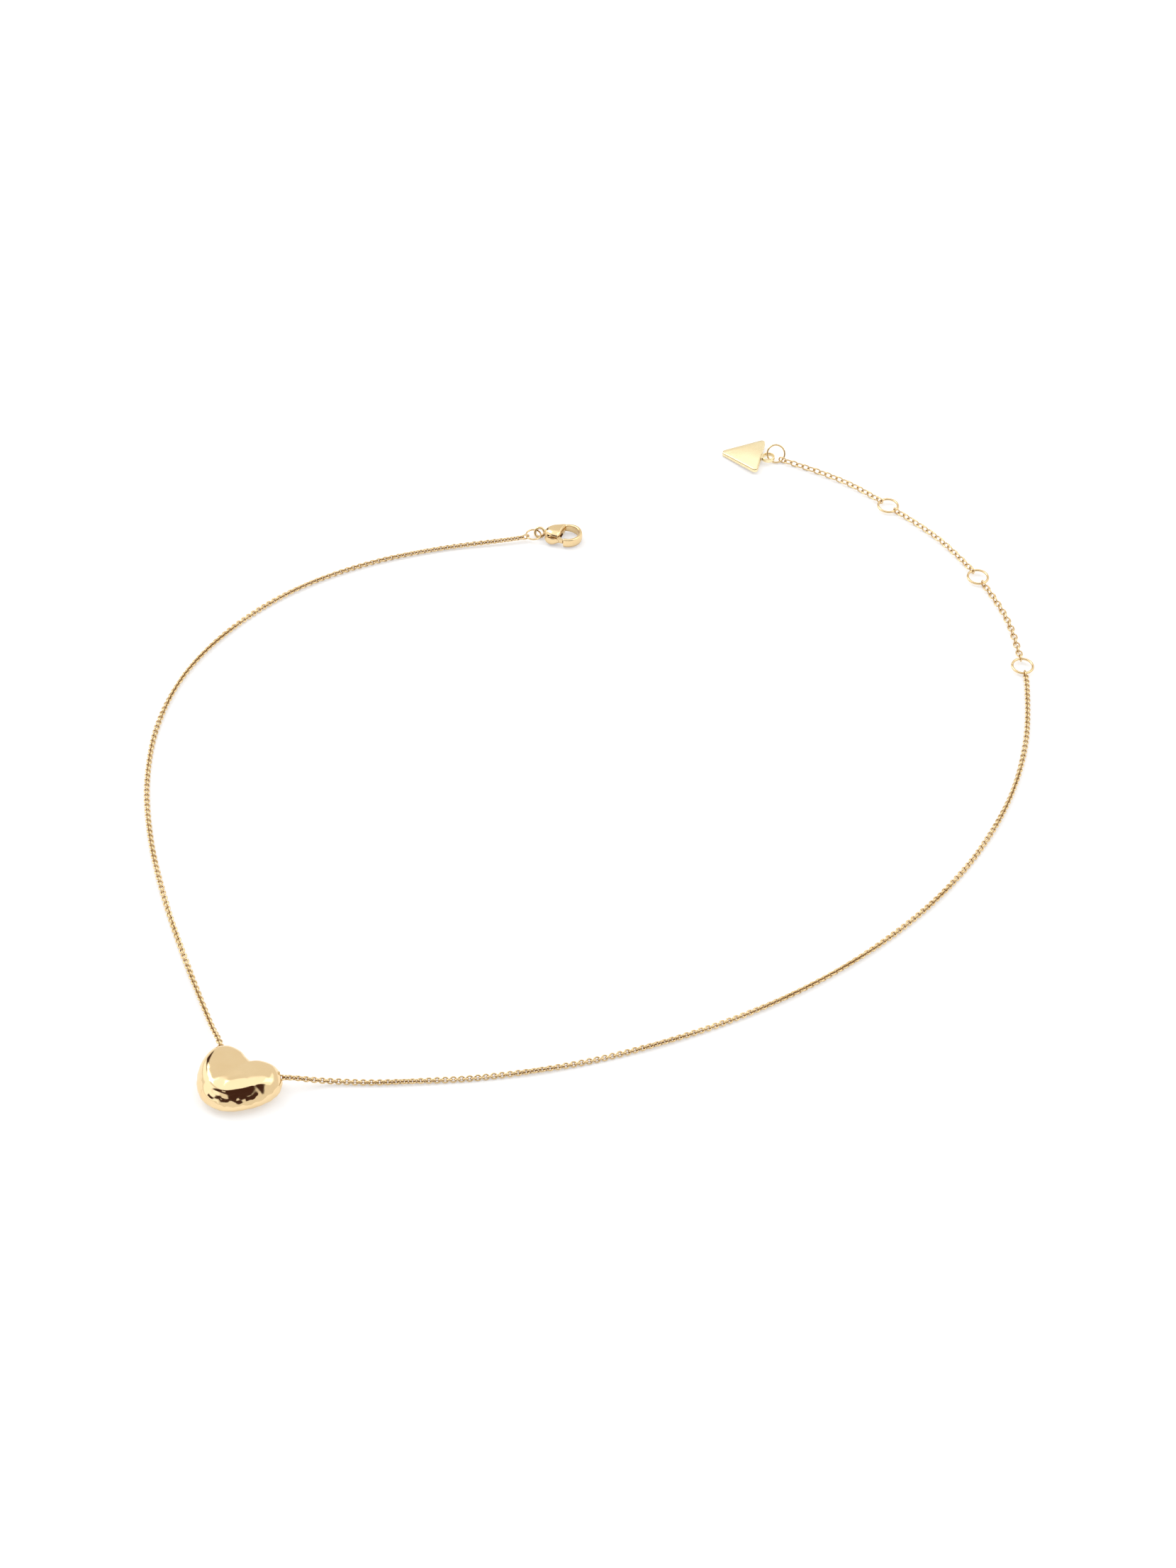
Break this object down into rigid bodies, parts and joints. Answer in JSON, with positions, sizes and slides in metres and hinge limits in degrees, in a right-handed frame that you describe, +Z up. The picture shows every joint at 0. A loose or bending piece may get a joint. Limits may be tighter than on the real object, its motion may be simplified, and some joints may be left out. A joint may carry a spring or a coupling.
{
  "type": "pendant necklace",
  "caption": "Fine link-chain necklace with a puffed heart pendant set between the strands, a lobster clasp, and an extender chain with rings and a blank triangular tag.",
  "frame": {"origin": "middle of the laid-out necklace, at the surface that it lies on", "axes": "+Z up off the surface, +Y from the heart side towards the clasp side, +X from the clasp strand towards the extender strand"},
  "size_m": [0.171, 0.198, 0.0052],
  "materials": {
    "heart_gold": "polished yellow gold plating, lightly hammered",
    "chain_gold": "polished yellow gold plated wire",
    "ring_gold": "polished yellow gold plated wire",
    "clasp_gold": "polished yellow gold plated casting",
    "tag_gold": "satin-polished yellow gold plating with rounded edges",
    "pin_gold": "gold plated pin with bright ends",
    "spring_steel": "plain spring steel"
  },
  "bodies": {
    "pendant": {"heart_front_shell": "heart_gold", "heart_back_shell": "heart_gold", "heart_pin_left": "pin_gold", "heart_pin_right": "pin_gold"},
    "clasp": {"clasp_body": "clasp_gold", "clasp_rivet": "pin_gold", "clasp_spring": "spring_steel"},
    "chain_left_1": {"chain_left_1": "chain_gold", "chain_left_1_between": "chain_gold"},
    "chain_left_2": {"chain_left_2": "chain_gold", "chain_left_2_between": "chain_gold"},
    "chain_left_3": {"chain_left_3": "chain_gold", "chain_left_3_between": "chain_gold"},
    "chain_left_4": {"chain_left_4": "chain_gold", "chain_left_4_between": "chain_gold"},
    "chain_left_5": {"chain_left_5": "chain_gold", "chain_left_5_between": "chain_gold"},
    "chain_left_6": {"chain_left_6": "chain_gold", "chain_left_6_between": "chain_gold"},
    "chain_left_7": {"chain_left_7": "chain_gold", "chain_left_7_between": "chain_gold"},
    "chain_left_8": {"chain_left_8": "chain_gold", "chain_left_8_between": "chain_gold"},
    "chain_right_1": {"chain_right_1": "chain_gold", "chain_right_1_between": "chain_gold"},
    "chain_right_2": {"chain_right_2": "chain_gold", "chain_right_2_between": "chain_gold"},
    "chain_right_3": {"chain_right_3": "chain_gold", "chain_right_3_between": "chain_gold"},
    "chain_right_4": {"chain_right_4": "chain_gold", "chain_right_4_between": "chain_gold"},
    "chain_right_5": {"chain_right_5": "chain_gold", "chain_right_5_between": "chain_gold"},
    "chain_right_6": {"chain_right_6": "chain_gold", "chain_right_6_between": "chain_gold"},
    "chain_right_7": {"chain_right_7": "chain_gold", "chain_right_7_between": "chain_gold"},
    "chain_right_8": {"chain_right_8": "chain_gold", "chain_right_8_between": "chain_gold"},
    "chain_right_9": {"chain_right_9": "chain_gold", "chain_right_9_between": "chain_gold"},
    "heart_link_left": {"heart_link_left": "chain_gold"},
    "heart_link_right": {"heart_link_right": "chain_gold"},
    "clasp_end_link": {"clasp_end_link": "chain_gold"},
    "clasp_jump_ring": {"clasp_jump_ring": "ring_gold"},
    "clasp_lever": {"clasp_lever": "clasp_gold"},
    "ring_end_link": {"ring_end_link": "chain_gold"},
    "adjuster_ring_1": {"adjuster_ring_1": "ring_gold"},
    "adjuster_ring_2": {"adjuster_ring_2": "ring_gold"},
    "adjuster_ring_3": {"adjuster_ring_3": "ring_gold"},
    "end_ring": {"end_ring": "ring_gold"},
    "extender_1": {"extender_1": "chain_gold"},
    "extender_2": {"extender_2": "chain_gold"},
    "extender_3": {"extender_3": "chain_gold"},
    "tag": {"tag": "tag_gold"}
  },
  "joints": [
    {"name": "heart_link_left_swing", "type": "hinge", "parent": "pendant", "child": "heart_link_left", "pos_m": [-0.0628, -0.086, 0.0026], "axis": [0, 0, 1], "range_deg": [-12, 12]},
    {"name": "heart_link_right_swing", "type": "hinge", "parent": "pendant", "child": "heart_link_right", "pos_m": [-0.0528, -0.0912, 0.0026], "axis": [0, 0, -1], "range_deg": [-12, 12]},
    {"name": "chain_left_1_bend", "type": "hinge", "parent": "heart_link_left", "child": "chain_left_1", "pos_m": [-0.06301, -0.08539, 0.00247], "axis": [0, 0, -1], "range_deg": [-15, 15]},
    {"name": "chain_left_2_bend", "type": "hinge", "parent": "chain_left_1", "child": "chain_left_2", "pos_m": [-0.07114, -0.06471, 0.00061], "axis": [0, 0, 1], "range_deg": [-15, 15]},
    {"name": "chain_left_3_bend", "type": "hinge", "parent": "chain_left_2", "child": "chain_left_3", "pos_m": [-0.07909, -0.04229, 0.00059], "axis": [0, 0, -1], "range_deg": [-15, 15]},
    {"name": "chain_left_4_bend", "type": "hinge", "parent": "chain_left_3", "child": "chain_left_4", "pos_m": [-0.08436, -0.0191, 0.00059], "axis": [0, 0, 1], "range_deg": [-15, 15]},
    {"name": "chain_left_5_bend", "type": "hinge", "parent": "chain_left_4", "child": "chain_left_5", "pos_m": [-0.08424, 0.00461, 0.00059], "axis": [0, 0, -1], "range_deg": [-15, 15]},
    {"name": "chain_left_6_bend", "type": "hinge", "parent": "chain_left_5", "child": "chain_left_6", "pos_m": [-0.0762, 0.02685, 0.00059], "axis": [0, 0, 1], "range_deg": [-15, 15]},
    {"name": "chain_left_7_bend", "type": "hinge", "parent": "chain_left_6", "child": "chain_left_7", "pos_m": [-0.06085, 0.04488, 0.00059], "axis": [0, 0, -1], "range_deg": [-15, 15]},
    {"name": "chain_left_8_bend", "type": "hinge", "parent": "chain_left_7", "child": "chain_left_8", "pos_m": [-0.04022, 0.05657, 0.00059], "axis": [0, 0, 1], "range_deg": [-15, 15]},
    {"name": "chain_right_1_bend", "type": "hinge", "parent": "heart_link_right", "child": "chain_right_1", "pos_m": [-0.05217, -0.09109, 0.00242], "axis": [0, 0, 1], "range_deg": [-15, 15]},
    {"name": "chain_right_2_bend", "type": "hinge", "parent": "chain_right_1", "child": "chain_right_2", "pos_m": [-0.03144, -0.08924, 0.00059], "axis": [0, 0, -1], "range_deg": [-15, 15]},
    {"name": "chain_right_3_bend", "type": "hinge", "parent": "chain_right_2", "child": "chain_right_3", "pos_m": [-0.00935, -0.08565, 0.00059], "axis": [0, 0, 1], "range_deg": [-15, 15]},
    {"name": "chain_right_4_bend", "type": "hinge", "parent": "chain_right_3", "child": "chain_right_4", "pos_m": [0.01177, -0.07827, 0.00059], "axis": [0, 0, -1], "range_deg": [-15, 15]},
    {"name": "chain_right_5_bend", "type": "hinge", "parent": "chain_right_4", "child": "chain_right_5", "pos_m": [0.0315, -0.06772, 0.00059], "axis": [0, 0, 1], "range_deg": [-15, 15]},
    {"name": "chain_right_6_bend", "type": "hinge", "parent": "chain_right_5", "child": "chain_right_6", "pos_m": [0.04811, -0.05492, 0.00059], "axis": [0, 0, -1], "range_deg": [-15, 15]},
    {"name": "chain_right_7_bend", "type": "hinge", "parent": "chain_right_6", "child": "chain_right_7", "pos_m": [0.06317, -0.03837, 0.00059], "axis": [0, 0, 1], "range_deg": [-15, 15]},
    {"name": "chain_right_8_bend", "type": "hinge", "parent": "chain_right_7", "child": "chain_right_8", "pos_m": [0.07452, -0.01911, 0.00059], "axis": [0, 0, -1], "range_deg": [-15, 15]},
    {"name": "chain_right_9_bend", "type": "hinge", "parent": "chain_right_8", "child": "chain_right_9", "pos_m": [0.0814, 0.00215, 0.00059], "axis": [0, 0, 1], "range_deg": [-15, 15]},
    {"name": "clasp_end_link_bend", "type": "hinge", "parent": "chain_left_8", "child": "clasp_end_link", "pos_m": [-0.01731, 0.06285, 0.00103], "axis": [0, 0, 1], "range_deg": [-15, 15]},
    {"name": "clasp_jump_ring_swing", "type": "hinge", "parent": "clasp_end_link", "child": "clasp_jump_ring", "pos_m": [-0.01596, 0.06334, 0.00103], "axis": [0, 0, -1], "range_deg": [-20, 20]},
    {"name": "clasp_swing", "type": "hinge", "parent": "clasp_jump_ring", "child": "clasp", "pos_m": [-0.01499, 0.06384, 0.0011], "axis": [0, 0, 1], "range_deg": [-20, 20]},
    {"name": "clasp_lever_pull", "type": "hinge", "parent": "clasp", "child": "clasp_lever", "pos_m": [-0.01034, 0.06322, 0.0012], "axis": [0, 0, 1], "range_deg": [0, 24], "stiffness_Nm_per_rad": 0.002, "springref_deg": -5.73},
    {"name": "ring_end_link_bend", "type": "hinge", "parent": "chain_right_9", "child": "ring_end_link", "pos_m": [0.08341, 0.02442, 0.0007], "axis": [0, 0, -1], "range_deg": [-15, 15]},
    {"name": "adjuster_ring_1_swing", "type": "hinge", "parent": "ring_end_link", "child": "adjuster_ring_1", "pos_m": [0.08322, 0.02584, 0.0007], "axis": [0, 0, 1], "range_deg": [-20, 20]},
    {"name": "extender_1_slide_round", "type": "hinge", "parent": "adjuster_ring_1", "child": "extender_1", "pos_m": [0.08297, 0.02739, 0.0008], "axis": [0, 0, -1], "range_deg": [-20, 20]},
    {"name": "adjuster_ring_2_swing", "type": "hinge", "parent": "extender_1", "child": "adjuster_ring_2", "pos_m": [0.07663, 0.05385, 0.00059], "axis": [0, 0, -1], "range_deg": [-20, 20]},
    {"name": "extender_2_slide_round", "type": "hinge", "parent": "adjuster_ring_2", "child": "extender_2", "pos_m": [0.07596, 0.05529, 0.0008], "axis": [0, 0, 1], "range_deg": [-20, 20]},
    {"name": "adjuster_ring_3_swing", "type": "hinge", "parent": "extender_2", "child": "adjuster_ring_3", "pos_m": [0.05982, 0.07719, 0.00059], "axis": [0, 0, 1], "range_deg": [-20, 20]},
    {"name": "extender_3_slide_round", "type": "hinge", "parent": "adjuster_ring_3", "child": "extender_3", "pos_m": [0.05869, 0.07831, 0.0008], "axis": [0, 0, -1], "range_deg": [-20, 20]},
    {"name": "end_ring_swing", "type": "hinge", "parent": "extender_3", "child": "end_ring", "pos_m": [0.03619, 0.09351, 0.00073], "axis": [0, 0, 1], "range_deg": [-8, 15]},
    {"name": "tag_swing", "type": "hinge", "parent": "end_ring", "child": "tag", "pos_m": [0.03387, 0.09334, 0.0007], "axis": [-0.0699, 0.013, 0.9975], "range_deg": [-25, 25]}
  ]
}
